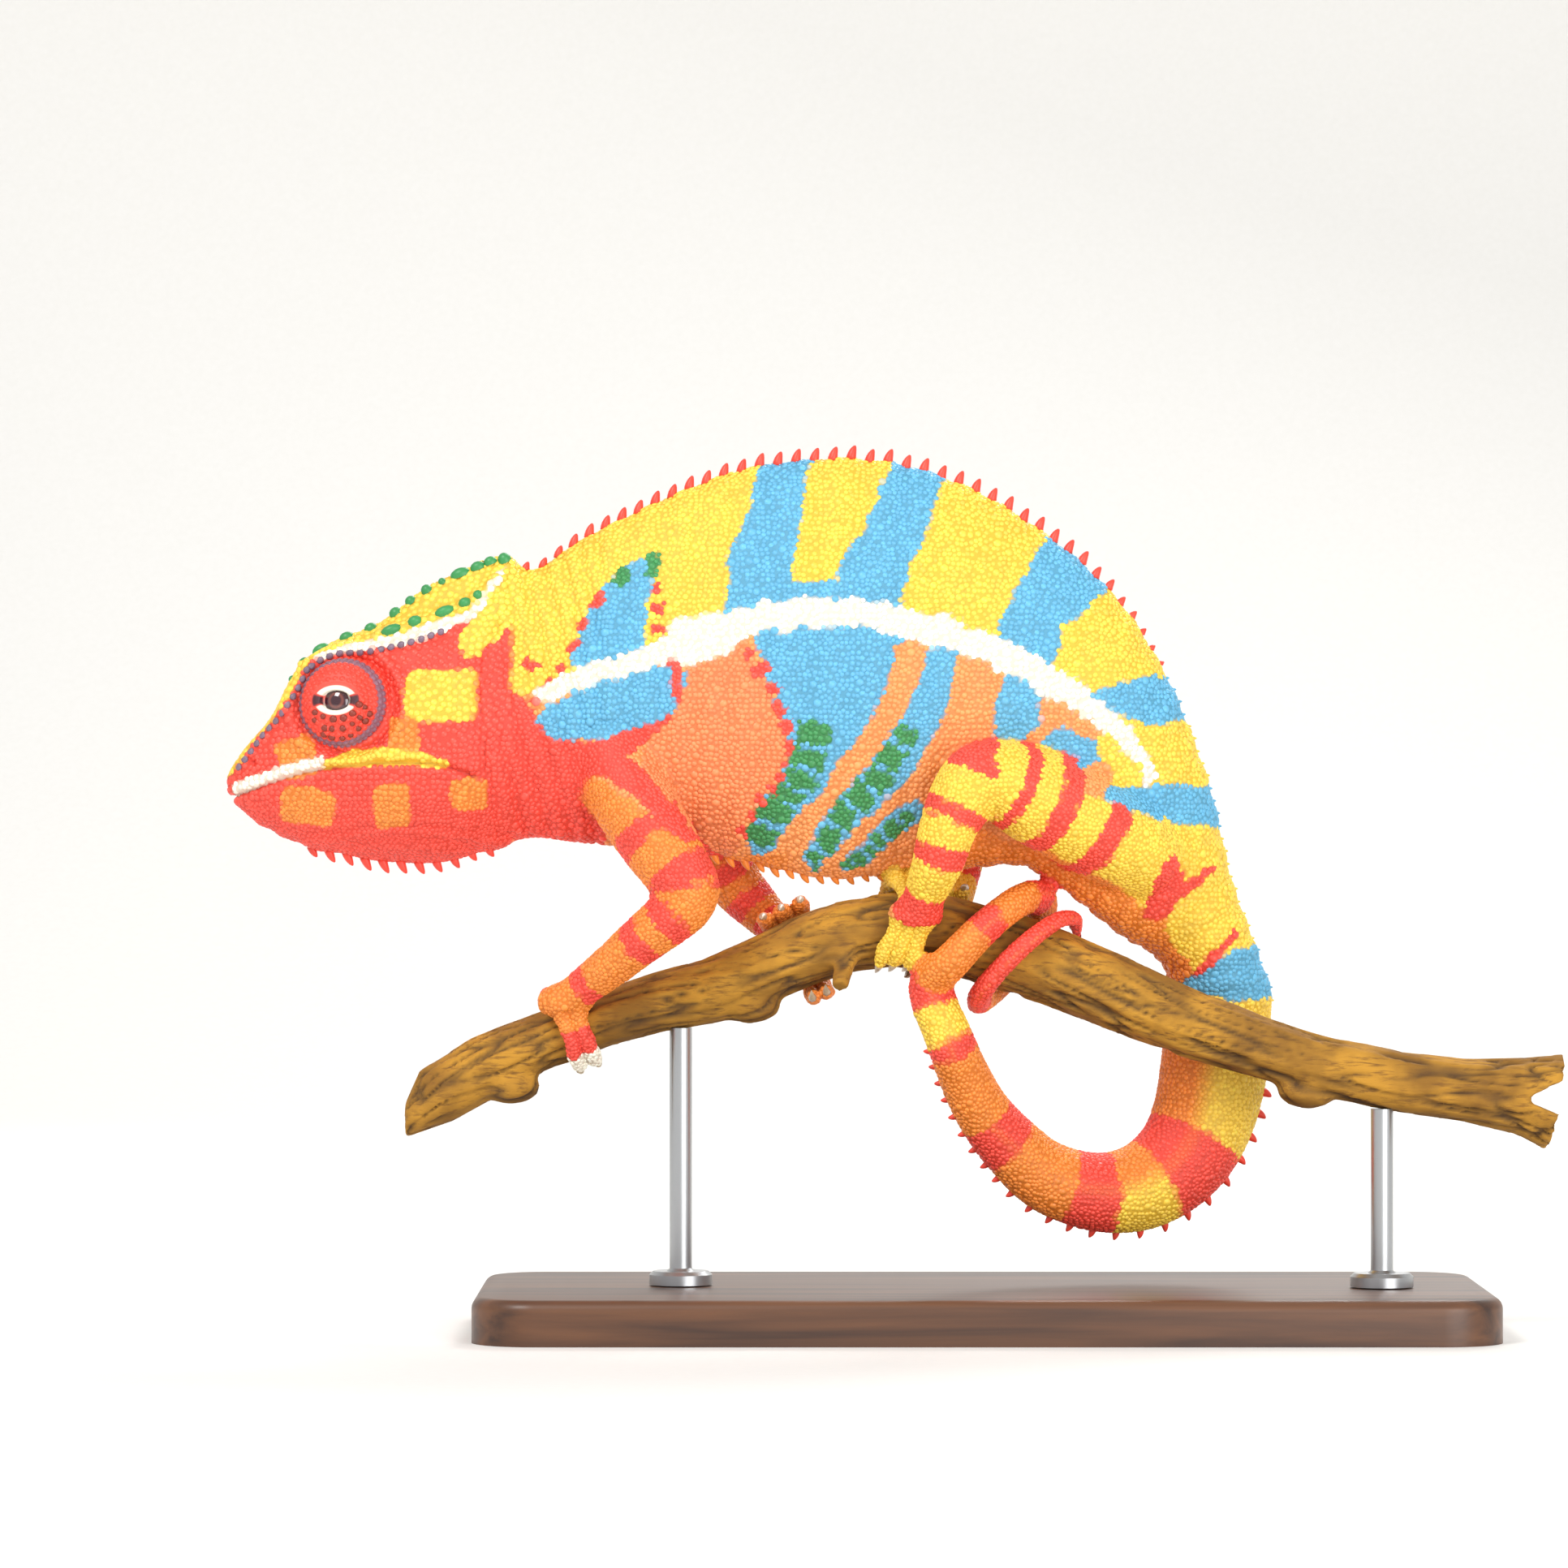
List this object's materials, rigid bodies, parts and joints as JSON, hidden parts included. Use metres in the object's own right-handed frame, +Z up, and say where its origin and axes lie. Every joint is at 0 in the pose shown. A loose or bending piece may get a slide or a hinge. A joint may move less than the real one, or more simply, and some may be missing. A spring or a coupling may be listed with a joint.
{
  "type": "panther chameleon on a perch",
  "caption": "Life-size panther chameleon model with arched back, gripping a cut length of branch with feet and coiled tail, held by two short rods on a flat display base.",
  "frame": {"origin": "centre of the bounding box's underside, on the surface that the base stands on", "axes": "+Z up; the animal faces -X and its left side faces -Y, so +X runs along the branch from head to tail"},
  "size_m": [0.2964, 0.096, 0.197],
  "materials": {
    "skin_warm": "painted scaly skin, satin",
    "skin_blue": "painted scaly skin, satin",
    "skin_yellow": "painted scaly skin, satin",
    "skin_orange": "painted scaly skin, satin",
    "eye": "scaly turret with a glossy pupil",
    "bark": "rough bark",
    "base_wood": "dark satin lacquer",
    "rod_metal": "brushed"
  },
  "bodies": {
    "root": {"eye_left": "eye", "eye_right": "eye", "foot_front_left": "skin_orange", "foot_front_right": "skin_orange", "foot_rear_left": "skin_yellow", "foot_rear_right": "skin_yellow", "head": "skin_warm", "leg_front_left_lower": "skin_orange", "leg_front_left_upper": "skin_orange", "leg_front_right_lower": "skin_orange", "leg_front_right_upper": "skin_orange", "leg_rear_left_lower": "skin_yellow", "leg_rear_left_upper": "skin_yellow", "leg_rear_right_lower": "skin_yellow", "leg_rear_right_upper": "skin_yellow", "lower_jaw": "skin_warm", "neck": "skin_yellow", "perch_branch": "bark", "stand_base": "base_wood", "stand_rod_front": "rod_metal", "stand_rod_rear": "rod_metal", "tail_bend": "skin_orange", "tail_coil": "skin_orange", "tail_front": "skin_orange", "tail_rise": "skin_orange", "tail_root": "skin_yellow", "tail_tip": "skin_orange", "tail_upper": "skin_orange", "trunk_front": "skin_blue", "trunk_rear": "skin_blue"}
  },
  "joints": []
}
